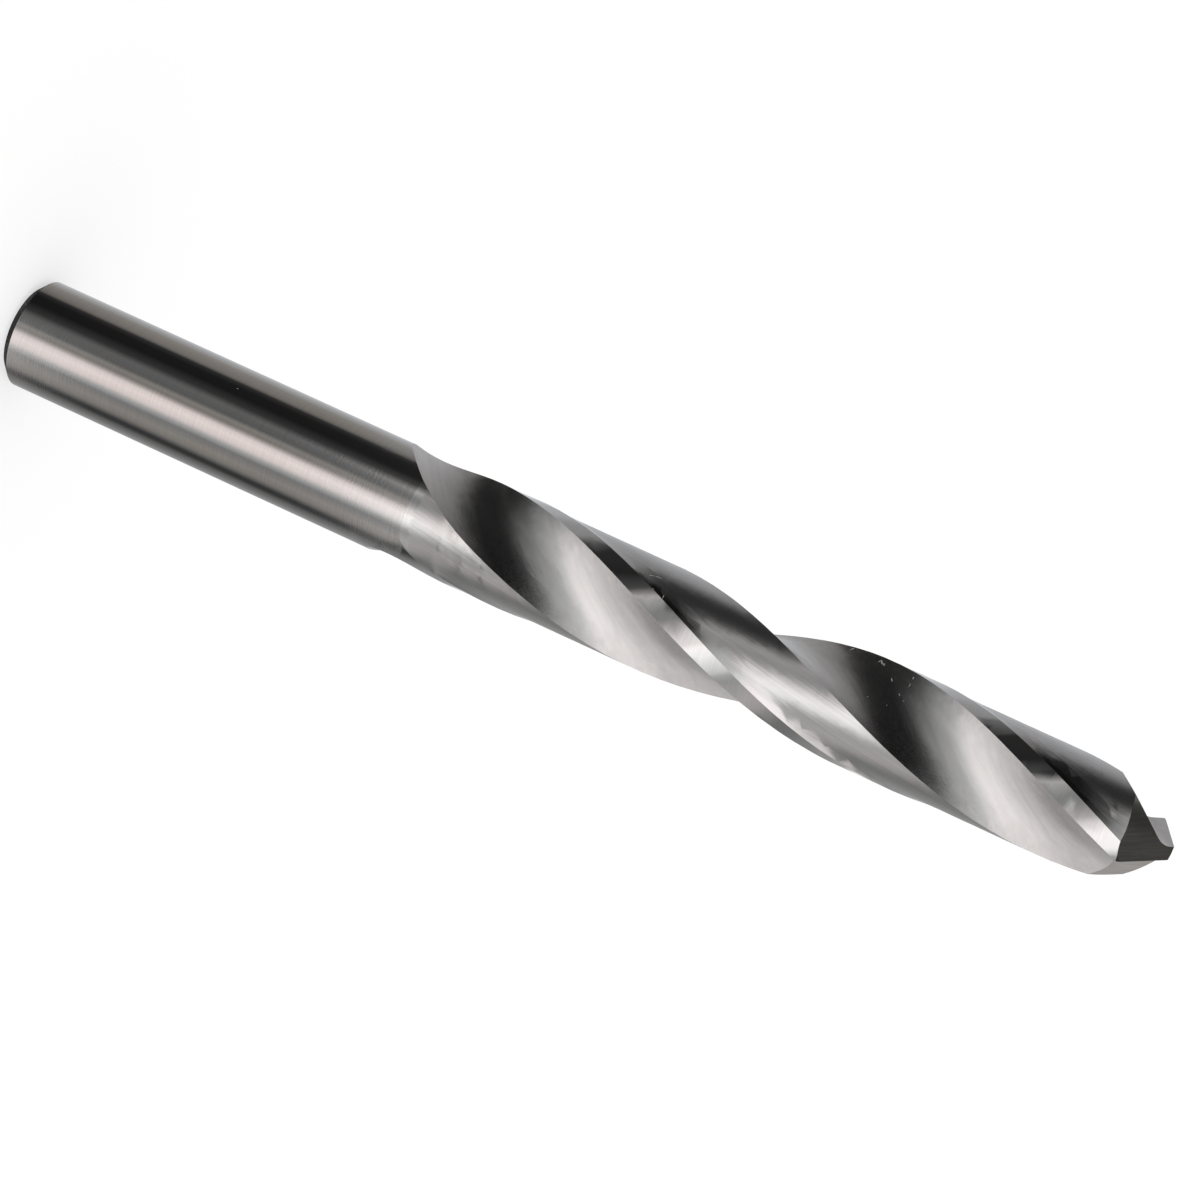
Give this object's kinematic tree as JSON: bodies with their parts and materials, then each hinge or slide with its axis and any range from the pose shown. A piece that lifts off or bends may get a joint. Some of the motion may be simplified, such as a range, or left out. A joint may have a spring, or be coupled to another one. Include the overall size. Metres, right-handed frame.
{
  "type": "carbide drill bit",
  "caption": "Solid carbide twist drill with a plain cylindrical shank, two right-hand helical flutes and a split 118 degree point.",
  "frame": {"origin": "centre of the flat end face of the shank", "axes": "+Z along the drill's axis from the shank to the point; the two cutting lips lie parallel to X, the first lip on the +X side"},
  "size_m": [0.0132, 0.0132, 0.1509],
  "materials": {
    "carbide": "ground bright"
  },
  "bodies": {
    "root": {"drill_bit": "carbide"}
  },
  "joints": []
}
